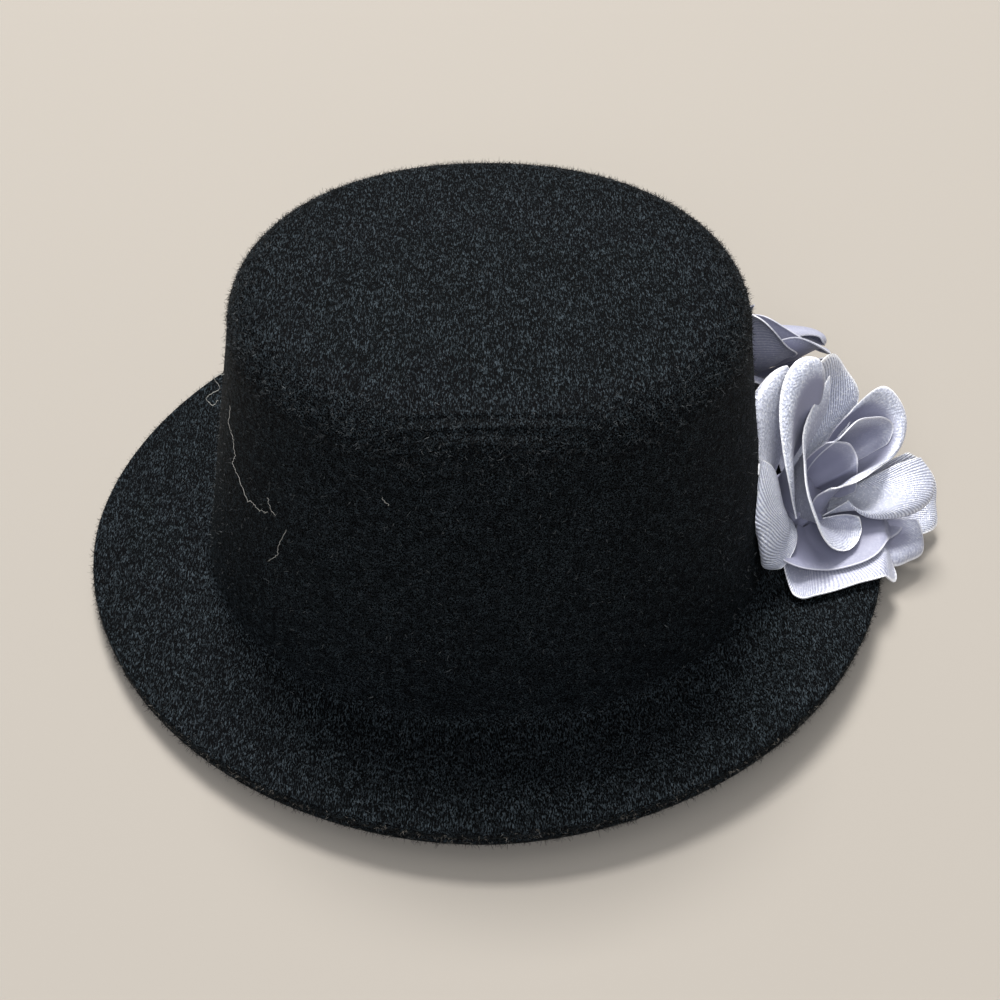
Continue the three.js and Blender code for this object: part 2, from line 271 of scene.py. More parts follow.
def felt_finish(name, ribs):
    """Black felt: short crossed fibres that catch the light, on a matted ground. The
    block left a few soft ribs across the front of the crown's top."""
    felt = Finish(
        name,
        Roughness=0.7,
        Specular_IOR_Level=0.03,
        Sheen_Weight=0.004,
        Sheen_Roughness=0.4,
        Sheen_Tint=(0.72, 0.8, 0.86, 1),
    )
    place = felt.place()
    fibres = 0.0
    for turn in FIBRE_TURNS:
        values = {"Vector": place, "Rotation": turn, "Scale": (1, FIBRE_STRETCH, 1)}
        laid = felt.add("ShaderNodeMapping", {"vector_type": "POINT"}, values)
        strand = felt.ramp(felt.noise(laid, 1 / FIBRE_THICK, 1.0, 0.4), 0.58, 0.68)
        fibres = felt.maths("MAXIMUM", fibres, strand)
    matting = felt.noise(place, 900, 3.0, 0.6)
    cloud = felt.noise(place, 90, 2.0)
    light = fibres * (0.4 + 0.6 * felt.ramp(matting, 0.36, 0.62)) * (0.75 + 0.5 * cloud)
    felt.feed_surface("Base Color", felt.blend(light, FELT_DARK, FELT_LIGHT))
    normal = felt.bump(0.6 * fibres + matting, 0.0005, 0.85)
    if ribs:
        x, y, z = felt.split(place)
        sideways = felt.maths("ABSOLUTE", x - HAT_X + 0.001)
        front = felt.ramp(sideways, 0.020, 0.006) * felt.ramp(z, 0.0490, 0.0525)
        front = front * felt.ramp(y, -0.0245, -0.029)
        rows = felt.maths("SINE", (y + 0.0006 * cloud) * (2 * math.pi / FELT_RIB_PITCH))
        normal = felt.bump(rows * front, 0.0003, 0.9, normal)
    felt.feed_surface("Normal", normal)
    return felt.material


WALL_TOP = CROWN_HEIGHT - SHOULDER_RADIUS
WALL_FOOT = BRIM_TOP + CORNER_RADIUS
under_crown = [
    *reversed(shoulder_rings(SHOULDER_RADIUS - FELT_WALL, FELT_WALL, CROWN_HEIGHT - FELT_WALL)),
    *(crown_ring(mix(WALL_TOP, WALL_FOOT, i / 6), FELT_WALL) for i in range(7)),
    crown_ring(BRIM_UNDER + 0.0006, FELT_WALL - 0.0001),
    crown_ring(BRIM_UNDER, MOUTH_INSET - 0.001),
    *(brim_ring(share, BRIM_UNDER) for share in (0.15, 0.33, 0.5, 0.66, 0.82, 0.94)),
]
corner = [
    crown_ring(BRIM_TOP + CORNER_RADIUS * (1 - math.cos(turn)), -CORNER_RADIUS * (1 - math.sin(turn)))
    for turn in (math.radians(90 * i / 6) for i in range(1, 6))
]
over_hat = [
    *(brim_ring(share, BRIM_TOP) for share in (0.94, 0.85, 0.74, 0.62, 0.5, 0.4, 0.3, 0.22, 0.15)),
    brim_ring(CORNER_RADIUS / (BRIM_HALF[0] - CROWN_FOOT_HALF[0]), BRIM_TOP),
    *corner,
    *(crown_ring(mix(WALL_FOOT, WALL_TOP, i / 12)) for i in range(13)),
    *shoulder_rings(SHOULDER_RADIUS, 0, CROWN_HEIGHT),
]
felt_hat = loft("felt_hat_moulded", [*under_crown, *rim_rings(BRIM_UNDER, BRIM_TOP), *over_hat], True)
felt_black = felt_finish("felt_black", ribs=True)
felt_hat.data.materials.append(felt_black)
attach(felt_hat, "root")
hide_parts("felt_hat")

# The brim facing. A second oval of the same felt is cut with a mouth for the crown and
# glued under the brim. A dark line between the layers shows all round the rim.
FACING_INSET = 0.0002
flat_share = 0.005 / (BRIM_HALF[0] - CROWN_FOOT_HALF[0])
facing_rings = [
    crown_ring(0, MOUTH_INSET + 0.0001),
    brim_ring(flat_share, 0, lift=0.0),
    *(brim_ring(share, 0) for share in (0.4, 0.5, 0.6, 0.7, 0.8, 0.9, 0.96)),
    *rim_rings(0, FACING_WALL, FACING_INSET),
    *(brim_ring(share, FACING_WALL) for share in (0.96, 0.9, 0.8, 0.7, 0.6, 0.5, 0.4)),
    brim_ring(flat_share, FACING_WALL, lift=0.0),
    {**crown_ring(0, MOUTH_INSET), "z": FACING_WALL},
    {**crown_ring(0, MOUTH_INSET - 0.0004), "z": 0.5 * FACING_WALL},
]
brim_facing = loft("brim_facing_cut", facing_rings, False)
felt_facing = felt_finish("felt_facing", ribs=False)
brim_facing.data.materials.append(felt_facing)
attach(brim_facing, "root")
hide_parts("brim_facing")

# The nap. Loose ends of wool stand off the felt all over: short curved fibres, most of
# them black and some paler. They are thickest on the shoulder and on both cut edges.
NAP_FIBRES = {"wall": 11000, "shoulder": 13500, "top": 3500, "brim": 7000, "edge": 7000}
FIBRE_LENGTH = (0.0003, 0.0009)
FIBRE_RADIUS = 0.000036
FIBRE_STEPS = 2
random = np.random.default_rng(7)


def felt_points(piece, count, wanted):
    """Seeded points on a felt piece, spread by area, with the directions they face.

    Drawn-out faces are stored in another order each time, so they are put in order first.
    """
    mesh = piece.data
    mesh.calc_loop_triangles()
    corners = np.array([[mesh.vertices[i].co for i in tri.vertices] for tri in mesh.loop_triangles])
    faces = np.array([tri.normal for tri in mesh.loop_triangles])
    order = np.lexsort(corners.mean(axis=1).T)
    corners = corners[order]
    faces = faces[order]
    sizes = 0.5 * np.linalg.norm(
        np.cross(corners[:, 1] - corners[:, 0], corners[:, 2] - corners[:, 0]), axis=1
    )
    sizes *= wanted(corners.mean(axis=1), faces)
    chosen = random.choice(len(sizes), size=count, p=sizes / sizes.sum())
    a, b = random.random((2, count))
    flip = a + b > 1
    a[flip] = 1 - a[flip]
    b[flip] = 1 - b[flip]
    tri = corners[chosen]
    points = tri[:, 0] + a[:, None] * (tri[:, 1] - tri[:, 0]) + b[:, None] * (tri[:, 2] - tri[:, 0])
    return points, faces[chosen]


def unit(vectors):
    return vectors / np.maximum(np.linalg.norm(vectors, axis=1, keepdims=True), 1e-9)


def nap(name, piece, count, wanted, rise, material):
    """Curved three-sided fibres on a felt piece, in one mesh."""
    points, faces = felt_points(piece, count, wanted)
    along = unit(np.cross(faces, random.normal(size=(count, 3))))
    out = unit(along + faces * random.uniform(*rise, size=(count, 1)))
    bend = unit(random.normal(size=(count, 3)) + 0.3 * faces) * random.uniform(0.1, 0.7, size=(count, 1))
    length = random.uniform(*FIBRE_LENGTH, size=(count, 1))
    side = unit(np.cross(out, random.normal(size=(count, 3))))
    third = np.cross(out, side)
    rings = []
    for step in range(FIBRE_STEPS + 1):
        share = step / FIBRE_STEPS
        middle = points - 0.0001 * faces + length * (share * out + share * share * bend)
        sunk = np.minimum(0, ((middle - points) * faces).sum(axis=1, keepdims=True))
        middle = middle - sunk * faces * share
        radius = FIBRE_RADIUS * (1 - 0.6 * share)
        for turn in (0, 2 * math.pi / 3, 4 * math.pi / 3):
            rings.append(middle + radius * (math.cos(turn) * side + math.sin(turn) * third))
    vertices = np.stack(rings, axis=1).reshape(-1, 3)
    vertices[:, 2] = np.maximum(vertices[:, 2], 0.00002)
    quads = []
    for step in range(FIBRE_STEPS):
        for k in range(3):
            a = 3 * step + k
            b = 3 * step + (k + 1) % 3
            quads.append((a, b, b + 3, a + 3))
    last = 3 * FIBRE_STEPS
    per_fibre = 3 * (FIBRE_STEPS + 1)
    offsets = per_fibre * np.arange(count)
    sides = (np.array(quads)[None] + offsets[:, None, None]).reshape(-1, 4)
    ends = (np.array([(2, 1, 0), (last, last + 1, last + 2)])[None] + offsets[:, None, None]).reshape(-1, 3)
    mesh = bpy.data.meshes.new(name)
    mesh.from_pydata(vertices.tolist(), [], sides.tolist() + ends.tolist())
    fibres = bpy.data.objects.new(name, mesh)
    bpy.context.scene.collection.objects.link(fibres)
    mesh.materials.append(material)
    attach(fibres, "root")
    return fibres


WOOL_DARK = (0.0012, 0.0014, 0.0017, 1)
# The pale fibres on the wall are drawn paler than those on the top, the shoulder and the brim: painted
# glints, where the wall gets less light.
WOOL_LIGHT = {
    "wall": (0.1, 0.108, 0.112, 1),
    "top": (0.055, 0.062, 0.067, 1),
    "cut": (0.12, 0.112, 0.1, 1),
}


def wool_finish(part):
    """Wool fibres: most of them black, and here and there a paler one; on the wall the pale ones are paler
    still, painted glints.
    """
    wool = Finish("wool_" + part, Roughness=0.6, Specular_IOR_Level=0.12)
    pale = wool.ramp(wool.noise(wool.place(), 1100, 1.0), 0.52, 0.64)
    wool.feed_surface("Base Color", wool.blend(pale, WOOL_DARK, WOOL_LIGHT[part]))
    return wool.material


wool_wall = wool_finish("wall")
wool_top = wool_finish("top")
wool_cut = wool_finish("cut")


def from_middle(middle):
    return np.hypot((middle[:, 0] - HAT_X) / BRIM_HALF[0], middle[:, 1] / BRIM_HALF[1])


def crown_wall(middle, faces):
    outwards = (faces[:, :2] * (middle[:, :2] - [HAT_X, CROWN_SHIFT_Y])).sum(axis=1) > 0
    return outwards & (middle[:, 2] > BRIM_TOP + 0.001) & (from_middle(middle) < 0.8)


def crown_shoulder(middle, faces):
    return (middle[:, 2] > CROWN_HEIGHT - SHOULDER_RADIUS) & (faces[:, 2] > 0.05) & (faces[:, 2] < 0.985)


def crown_top(middle, faces):
    return (middle[:, 2] > CROWN_HEIGHT - 0.001) & (faces[:, 2] > 0)


def brim_top(middle, faces):
    return (faces[:, 2] > 0.5) & (middle[:, 2] < BRIM_TOP + 0.009)


def rim_edge(middle, faces):
    return (from_middle(middle) > 0.97) & (faces[:, 2] < 0.6)


nap("nap_wall", felt_hat, NAP_FIBRES["wall"], crown_wall, (0.1, 1.1), wool_wall)
nap("nap_shoulder", felt_hat, NAP_FIBRES["shoulder"], crown_shoulder, (0.1, 1.1), wool_top)
nap("nap_top", felt_hat, NAP_FIBRES["top"], crown_top, (0.1, 0.9), wool_top)
nap("nap_brim", felt_hat, NAP_FIBRES["brim"], brim_top, (0.1, 0.9), wool_top)
nap("nap_rim", felt_hat, NAP_FIBRES["edge"], rim_edge, (0.1, 1.2), wool_cut)
nap("nap_facing_rim", brim_facing, NAP_FIBRES["edge"], rim_edge, (0.1, 1.2), wool_cut)

# Lint. A few pale hairs have settled on the left of the crown. Each lies close to the
# wall through a few points, given by direction and height there and how far it stands off.
LINT = (
    (
        (200, 41.5, 0.2), (201.5, 38.8, 0.5), (203.5, 36.8, 0.2), (205.5, 35, 0.3),
        (206, 33.8, 0.6), (207.5, 32.2, 0.2), (212.5, 30.2, 0.2), (214.5, 30.8, 0.2),
        (217.5, 30.8, 0.3), (220.5, 31.5, 0.2),
    ),
    (
        (220, 34.2, 0.2), (221.5, 33.2, 0.4), (223, 32, 0.2),
    ),
    (
        (226.5, 31, 0.2), (225, 27.8, 0.4), (224, 25, 0.2), (221.5, 22.8, 0.2),
    ),
    (
        (189, 41.6, -0.1), (189, 41.2, 1.5), (190, 39.6, 0.5), (190, 38.8, 1.7),
        (190, 37.8, 2.4), (191, 37, 1.5), (191, 37.9, 0.8),
    ),
    (
        (249, 43, 0.2), (250, 42.6, 0.4), (250.5, 42, 0.2),
    ),
)
LINT_RADIUS = 0.00004
LINT_KINK = 0.00006
LINT_STEPS = 8
lint_finish = Finish("lint_pale", Base_Color=(0.3, 0.3, 0.28, 1), Roughness=0.6)


def beside_wall(direction, height, off):
    """A point beside the crown's wall, from a direction in degrees and two sizes in mm."""
    angle = math.radians(direction)
    ring = crown_ring(0.001 * height, -0.001 * off)
    power = 2 / CROWN_SQUARENESS
    across = [math.copysign(abs(turn) ** power, turn) for turn in (math.cos(angle), math.sin(angle))]
    return Vector((
        HAT_X + ring["half"][0] * across[0],
        CROWN_SHIFT_Y + ring["half"][1] * across[1],
        0.001 * height,
    ))


def curve_point(row, place):
    """A point on the smooth curve through a row of points, at a place counted along them."""
    first = min(int(place), len(row) - 2)
    before, start, end, after = (Vector(row[min(max(first + k, 0), len(row) - 1)]) for k in (-1, 0, 1, 2))
    t = place - first
    return 0.5 * (
        2 * start + (end - before) * t
        + (2 * before - 5 * start + 4 * end - after) * t * t
        + (3 * start - before - 3 * end + after) * t ** 3
    )


def lint_hair(number, row):
    """One pale hair, as a thin tube."""
    row = [beside_wall(*point) for point in row]
    count = LINT_STEPS * (len(row) - 1)
    kinks = [LINT_KINK * Vector(kink) for kink in random.normal(size=(count + 1, 3))]
    middles = [curve_point(row, i / LINT_STEPS) + kink for i, kink in enumerate(kinks)]
    vertices = []
    for i, middle in enumerate(middles):
        ahead = (middles[min(i + 1, count)] - middles[max(i - 1, 0)]).normalized()
        side = ahead.orthogonal().normalized()
        radius = LINT_RADIUS * (0.4 if i in (0, count) else 1)
        for turn in range(4):
            vertices.append(middle + radius * (Matrix.Rotation(0.5 * math.pi * turn, 3, ahead) @ side))
    quads = [
        (4 * i + k, 4 * i + (k + 1) % 4, 4 * i + 4 + (k + 1) % 4, 4 * i + 4 + k)
        for i in range(count) for k in range(4)
    ]
    mesh = bpy.data.meshes.new(f"lint_{number}")
    mesh.from_pydata(vertices, [], [*quads, (3, 2, 1, 0), tuple(range(4 * count, 4 * count + 4))])
    hair = bpy.data.objects.new(f"lint_{number}", mesh)
    bpy.context.scene.collection.objects.link(hair)
    mesh.materials.append(lint_finish.material)
    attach(hair, "root")


for number, row in enumerate(LINT, 1):
    lint_hair(number, row)

# The roses. Each petal is a piece of silver-lilac satin ribbon, cut with a hot knife so
# that its edge is sealed, cupped over a ball iron and gathered into a knot at its root.
# The knots are sewn through the brim beside the crown. The edge is also drawn near-white,
# a painted highlight.
ROSES = {
    "rose_1": {
        "foot": (0.0513, 0.0015, 0.0085),
        "faces": (0.57, -0.22, 0.79),
        "mirrored": False,
        "size": 1.0,
        "sheen_and_shade_scale": 1.0,
    },
    # The far rose's satin is scaled down towards its darker tone: painted shade.
    "rose_2": {
        "foot": (0.0415, 0.033, 0.0105),
        "faces": (0.5, 0.3, 0.79),
        "mirrored": True,
        "size": 0.9,
        "sheen_and_shade_scale": 0.3,
    },
}

# Directions round the rose are in degrees: 0 away from the front, 90 against the crown,
# 180 to the front, 270 over the brim. Sizes are in millimetres. A root is (distance from
# the axis, height along it). A lip is a row of (direction, distance, height). The belly
# lies between them at cup's two shares of the way, raised by its third number. Roll gives
# the degrees that the lip and then its hem turn outwards, and thread the slant of the
# ribs. After thread come three numbers: how far the hollow and the lip show the satin's
# bright face, from 0 to 1, and how far ribs show on it. The first two also paint light:
# a low number draws the satin darker, painted shade, and a high one lighter, painted sheen.
PETAL_FIELDS = ("kind", "root", "cup", "roll", "thread", "face_sheen_and_shade", "lip")
PETAL_TABLE = (
    ("bud", (2.2, -1), (1, 0.5, 0), (0, 20), 20, (0, 0.15, 0.2), (
        (290, 5.2, 9.4), (318, 3.4, 11), (339, 1.9, 12.2), (375, 3.2, 12.9), (402, 4.2, 13.4),
        (426, 5.8, 12.4),
    )),
    ("bud", (2.9, 2.5), (1, 0.5, 0), (10, 20), 50, (0.1, 0.4, 0.3), (
        (-25, 12.2, 14.2), (-17, 13.2, 15), (-8, 12.2, 15.4), (9, 8.9, 15.4), (35, 6.6, 15.2),
        (60, 5.2, 14.2),
    )),
    ("inner", (4.2, 2), (0.75, 0.4, 0), (25, 40), 35, (0.05, 0.9, 0.2), (
        (165, 3.4, 10.8), (200, 1.6, 11.6), (262, 0.9, 12.8), (300, 1.8, 13.6), (316, 4.6, 14.2),
        (323, 8.8, 14.8), (331, 12.8, 16), (341, 15.2, 17.4), (352, 16.2, 18), (364, 15.8, 18.2),
        (373, 14, 17.4), (378, 12.2, 15.2),
    )),
    ("inner", (4.4, 1.5), (0.3, 0.8, 0), (0, 8), 70, (0.45, 0.85, 0.5), (
        (58, 16.6, 17.6), (63, 14.6, 15.6), (76, 12.6, 13.8), (97, 11, 12), (125, 8.8, 10),
        (165, 10.2, 8.8), (191, 11.6, 7.4), (208, 12, 6.8), (226, 11.7, 7.2), (240, 10.4, 7.4),
        (250, 9, 7.8), (248, 7.6, 8.8),
    )),
    ("inner", (4.4, 1), (0.45, 1.25, 0), (40, 40), -9, (0.8, 1.0, 0.9), (
        (228, 3.8, 9), (242, 6.2, 9), (258, 9.4, 9.8), (268, 12.2, 11.6), (280, 15.4, 13.6),
        (291, 17.4, 15), (304, 18, 15.6), (316, 16.2, 15.4),
    )),
    ("middle", (4.8, 1), (0.7, 0.25, 0), (15, 20), -55, (1.0, 1.0, 1.0), (
        (8, 10.6, 11.6), (9, 14.4, 13), (16, 15.8, 14.4), (27, 17.2, 15.2), (38, 17.7, 16.4),
        (50, 17.5, 17.2), (61, 17.6, 17.4),
    )),
    ("middle", (5, 0.5), (0.35, 0.75, 0), (15, 35), 25, (0, 0.9, 0.15), (
        (63, 17.2, 18.2), (69, 19, 19.8), (76, 20, 19), (84, 18.8, 16.6), (95, 16.4, 14),
        (110, 13.4, 11.4), (124, 11.6, 9.6), (137, 10.2, 7.8), (153, 9, 5.6), (170, 8.2, 3.8),
    )),
    ("middle", (5, 0), (0.6, 0.35, 0), (10, 20), 65, (0, 0.1, 0), (
        (180, 15.6, 1.6), (196, 14.8, 3), (215, 14.4, 6), (236, 13.9, 8.2), (262, 13.8, 8.8),
        (274, 15.2, 9.6), (281, 16.4, 10.2),
    )),
    ("outer", (5.4, -0.5), (0.6, 1.0, 0), (20, 50), 15, (0.9, 0.9, 0.1), (
        (72, 20.6, 14), (84, 21.4, 13), (98, 21.2, 11.6), (114, 20.6, 10), (130, 19.8, 8.4),
    )),
    ("outer", (6, 1), (0.5, 0.5, 5), (40, 50), 60, (1.0, 1.0, 1.0), (
        (122, 19.6, 8.4), (138, 20.2, 7), (149, 20.4, 5.4), (158, 19.4, 3.6), (168, 19.4, 1.4),
        (176, 18.6, -0.8), (184, 16, -1.2),
    )),
    ("outer", (5.4, -0.5), (0.55, 0.2, 0), (0, 30), 17, (0.3, 0.55, 1.0), (
        (184, 14.4, 0.2), (192, 18.2, 0.3), (198, 20, 1.2), (205, 19, 2.4), (220, 18.4, 5.3),
        (232, 19, 7.6), (244, 19.2, 9.2), (251, 17.4, 9.6),
    )),
    ("outer", (5.4, -0.5), (0.5, 0.4, 0), (20, 40), 45, (0.05, 0.5, 0.3), (
        (238, 13.6, 8.4), (250, 16, 9), (260, 17.8, 10.8), (268, 18.8, 11.8), (277, 19, 12.2),
        (284, 18, 13),
    )),
    ("outer", (5.4, -0.5), (0.6, 0.3, 0), (20, 40), -10, (0.6, 1.0, 0.9), (
        (280, 20.2, 10.6), (289, 22.2, 11.6), (297, 22.4, 12.8), (304, 21.4, 13.9), (313, 19.4, 15),
        (324, 16.6, 15.8),
    )),
    ("outer", (5.4, -0.5), (0.6, 0.3, 0), (20, 50), 30, (0.3, 0.6, 0.5), (
        (322, 15, 9), (334, 16.4, 10), (347, 16, 9.6), (360, 16.4, 9.8), (372, 16, 9),
    )),
    ("outer", (5.4, -0.5), (0.6, 0.3, 0), (20, 50), 60, (0.3, 0.6, 0.5), (
        (5, 16, 7), (18, 17.6, 7.6), (32, 17.3, 6.8), (46, 17.8, 6.6), (60, 17, 5.5),
    )),
)
PETALS = [dict(zip(PETAL_FIELDS, row)) for row in PETAL_TABLE]
PETAL_UNIT = 0.001
SATIN_WALL = 0.00022
LAYER_ROOM = 0.0003
PETAL_COLUMNS = 40
PETAL_ROWS = 30
ROOT_SPREAD = 0.65
FULL_WIDTH_AT = 0.7
CORNER_CUT = 0.12
LIP_START = 0.78
SHINE_START = 0.78
SHINE_FADE = 0.13
HEM_START = 0.9
SIDE_CURL = {"bud": 0.1, "inner": 0.2, "middle": 0.3, "outer": 0.5}
RIPPLE = {"bud": 0.05, "inner": 0.12, "middle": 0.2, "outer": 0.25}


def lip_point(petal, side):
    """The direction, distance and height of the lip as side runs from -1 to 1."""
    return curve_point(petal["lip"], 0.5 * (side + 1) * (len(petal["lip"]) - 1))


def turned_out(point, hinge, angle):
    """A point of a petal's profile, turned away from the rose's axis about a hinge."""
    arm = point - hinge
    return hinge + Vector((
        math.cos(angle) * arm.x + math.sin(angle) * arm.y,
        math.cos(angle) * arm.y - math.sin(angle) * arm.x,
    ))


def petal_profile(petal, lip, share):
    """Distance from the rose's axis and height along it of a point of a petal."""
    root = Vector(petal["root"])
    out, up, arch = petal["cup"]
    belly = Vector((mix(root.x, lip.x, out), mix(root.y, lip.y, up) + arch))

    def along(t):
        return (1 - t) ** 2 * root + 2 * t * (1 - t) * belly + t * t * lip

    roll, hem = petal["roll"]
    point = along(share)
    if share > HEM_START:
        curl = math.radians(hem) * (share - HEM_START) / (1 - HEM_START)
        point = turned_out(point, along(HEM_START), curl)
    if share > LIP_START:
        turn = math.radians(roll) * (share - LIP_START) / (1 - LIP_START)
        point = turned_out(point, along(LIP_START), turn)
    return point


def petal_point(petal, side, share):
    """A point of the petal in the rose's own frame, in millimetres."""
    direction, distance, rise = lip_point(petal, side)
    rounded = share * (1 - CORNER_CUT * abs(side) ** 3)
    across, height = petal_profile(petal, Vector((distance, rise)), rounded)
    opened = math.sin(0.5 * math.pi * min(1, share / FULL_WIDTH_AT))
    middle = lip_point(petal, 0)[0]
    angle = math.radians(mix(middle, direction, mix(ROOT_SPREAD, 1, opened)))
    wave = RIPPLE[petal["kind"]] * share ** 3 * math.sin(7 * side + math.radians(7 * petal["thread"]))
    across += wave + SIDE_CURL[petal["kind"]] * share * max(0.0, (abs(side) - 0.75) / 0.25) ** 2
    height += 0.6 * wave
    return Vector((across * math.cos(angle), across * math.sin(angle), height))


def mirrored(petal):
    """The same petal on the other hand, front for back."""
    return {**petal, "lip": tuple((180 - turn, out, rise) for turn, out, rise in reversed(petal["lip"]))}


def rose_frame(rose):
    """The rose's axis, and its first direction level and away from the front."""
    axis = Vector(rose["faces"]).normalized()
    level = Vector((0, 0, 1)).cross(axis).normalized()
    third = axis.cross(level)
    turned = Matrix((level, third, axis)).transposed().to_4x4()
    foot = Vector(rose["foot"]) + Vector((HAT_X, 0, 0))
    return Matrix.Translation(foot) @ turned @ Matrix.Scale(rose["size"] * PETAL_UNIT, 4)


RIM_FALL = 1.6


def clear_of_hat(point, room):
    """The point, moved clear of the crown, and over the brim by at least the given room.

    Beyond the rim the lowest place that it may have falls away with a slope.
    """
    x = point.x - HAT_X
    y = point.y - CROWN_SHIFT_Y
    if point.z < CROWN_HEIGHT:
        height = min(max(point.z, BRIM_TOP), CROWN_HEIGHT - SHOULDER_RADIUS)
        ring = crown_ring(height)
        corner_room = CORNER_RADIUS * max(0.0, 1 - (height - BRIM_TOP) / CORNER_RADIUS) ** 2
        half = [size + SATIN_WALL + corner_room for size in ring["half"]]
        across = abs(x / half[0]) ** CROWN_SQUARENESS + abs(y / half[1]) ** CROWN_SQUARENESS
        reach = across ** (1 / CROWN_SQUARENESS)
        if 0 < reach < 1:
            x /= reach
            y /= reach
    foot = math.hypot(x / CROWN_FOOT_HALF[0], y / CROWN_FOOT_HALF[1])
    rim = math.hypot(x / BRIM_HALF[0], (y + CROWN_SHIFT_Y) / BRIM_HALF[1])
    share = 1.0
    if rim < 1:
        share = (foot - 1) / max(1e-6, foot - 1 + foot * (1 / rim - 1))
    beyond = BRIM_HALF[0] * max(0.0, rim - 1)
    floor = BRIM_TOP + room + smooth(share) * rim_lift(math.atan2(y, x)) - RIM_FALL * beyond
    return Vector((x + HAT_X, y + CROWN_SHIFT_Y, max(point.z, floor)))


RIB_PITCH = 0.00052
WEFT_PITCH = 0.00031
SATIN_DULL_AND_SHADE = (0.19, 0.194, 0.27, 1)
SATIN_GROOVE = (0.29, 0.305, 0.385, 1)
SATIN_CREST = (0.6, 0.63, 0.73, 1)
SATIN_GLINT = (1.0, 1.0, 1.0, 1)


def satin_finish():
    """Ribbon satin: bright slanting ribs on its shiny face, smooth and deeper on its dull one. The bright
    and deep tones are partly painted sheen and painted shade, and its glints and edges painted highlights.
    """
    satin = Finish(
        "satin_lilac",
        Specular_IOR_Level=0.45,
        Sheen_Weight=0.12,
        Sheen_Roughness=0.35,
        Sheen_Tint=(0.9, 0.92, 1.0, 1),
        Anisotropic=0.4,
    )
    across, along, _ = satin.split(satin.add("ShaderNodeUVMap", {"uv_map": "cloth"}, {}))
    place = satin.place()
    face_sheen_and_shade = satin.attribute("face_sheen_and_shade")
    edge = satin.attribute("edge")
    ribs = satin.attribute("ribs")
    waver = satin.noise(place, 220, 2.0)
    rib = 0.5 + 0.5 * satin.maths("SINE", (across + 0.0003 * waver) * (2 * math.pi / RIB_PITCH))
    weft = satin.maths("SINE", along * (2 * math.pi / WEFT_PITCH))
    grain = satin.ramp(satin.noise(place, 2300, 1.0), 0.38, 0.64)
    # Scattered near-white specks in the colour: painted glints.
    glint = satin.ramp(satin.noise(place, 2600, 1.0), 0.54, 0.66) * (0.4 + 0.6 * rib)
    woven = (1.0 - ribs) * (0.35 + 0.65 * grain) + ribs * satin.ramp(rib, 0.1, 0.8)
    ribbed = satin.blend(woven, SATIN_GROOVE, SATIN_CREST)
    ribbed = satin.blend(0.55 * glint, ribbed, SATIN_GLINT)
    # A low value takes the darker dull tone, which is the dull face and also painted shade; a high one the
    # lighter ribbed tone, partly a painted sheen.
    tone = satin.blend(face_sheen_and_shade, SATIN_DULL_AND_SHADE, ribbed)
    # Near-white along the sealed edge, stronger on the bright face: a painted highlight.
    sealed_edge_highlight = satin.ramp(edge, 0.972, 0.99)
    satin.feed_surface("Base Color", satin.blend(sealed_edge_highlight * (0.15 + 0.5 * face_sheen_and_shade), tone, SATIN_GLINT))
    satin.feed_surface("Metallic", 0.2 * face_sheen_and_shade)
    satin.feed_surface("Roughness", 0.5 - 0.2 * face_sheen_and_shade + 0.1 * waver - 0.1 * glint)
    weave = satin.bump((ribs * rib + 0.5 * grain + 0.1 * weft) * (0.1 + 0.9 * face_sheen_and_shade), 0.00012, 0.8)
    satin.feed_surface("Normal", satin.bump(waver, 0.0012, 0.12, weave))
    return satin.material


satin_lilac = satin_finish()


def cloth_size(points):
    """The full width and mean length of a formed petal along its own surface, and its area."""
    grid = np.array(points).reshape(PETAL_ROWS + 1, PETAL_COLUMNS + 1, 3)
    width = np.linalg.norm(np.diff(grid, axis=1), axis=2).sum(axis=1).max()
    length = np.linalg.norm(np.diff(grid, axis=0), axis=2).sum(axis=0).mean()
    ahead = np.cross(grid[1:, 1:] - grid[:-1, :-1], grid[1:, :-1] - grid[:-1, 1:])
    return float(width), float(length), float(0.5 * np.linalg.norm(ahead, axis=2).sum())


